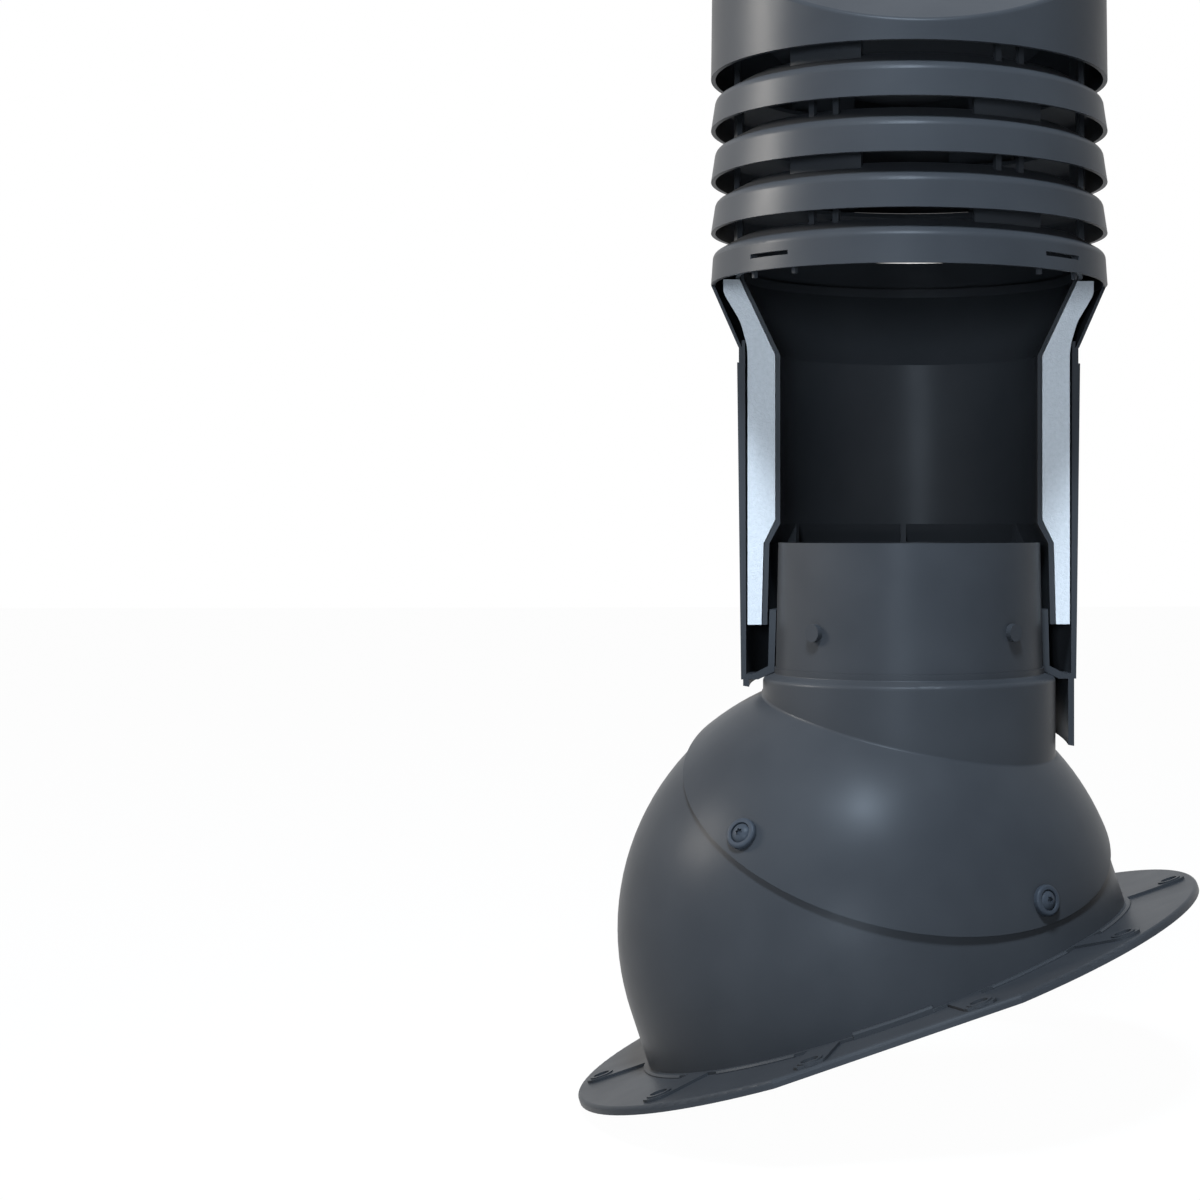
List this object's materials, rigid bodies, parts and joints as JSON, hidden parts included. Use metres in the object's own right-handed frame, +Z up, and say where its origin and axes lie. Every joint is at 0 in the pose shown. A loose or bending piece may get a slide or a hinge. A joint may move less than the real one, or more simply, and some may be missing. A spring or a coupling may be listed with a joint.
{
  "type": "roof vent pipe",
  "caption": "Insulated roof vent pipe with a louvred head on a turning ball base, shown as a half section.",
  "frame": {"origin": "centre of the neck's upper rim, which the pipe stands on, where the duct's bore ends", "axes": "+Z up along the pipe's axis, +X to the right and -Y towards the cut-away side; the roof flange is tilted as on a pitched roof"},
  "size_m": [0.3612, 0.3558, 0.6737],
  "materials": {
    "moulded_plastic": "fine matt moulded surface, dark blue-grey",
    "foam": "pale grey moulded bead foam, matt",
    "dark_screws": "dark coated steel, satin"
  },
  "bodies": {
    "root": {"roof_base": "moulded_plastic", "ball_dome": "moulded_plastic", "dome_screws": "dark_screws", "cup_washers": "dark_screws", "outer_pipe": "moulded_plastic", "insulation": "foam", "inner_pipe": "moulded_plastic", "head_cone": "moulded_plastic", "base_ring": "moulded_plastic", "louvre_ring_1": "moulded_plastic", "louvre_ring_2": "moulded_plastic", "louvre_ring_3": "moulded_plastic", "cap": "moulded_plastic"}
  },
  "joints": []
}
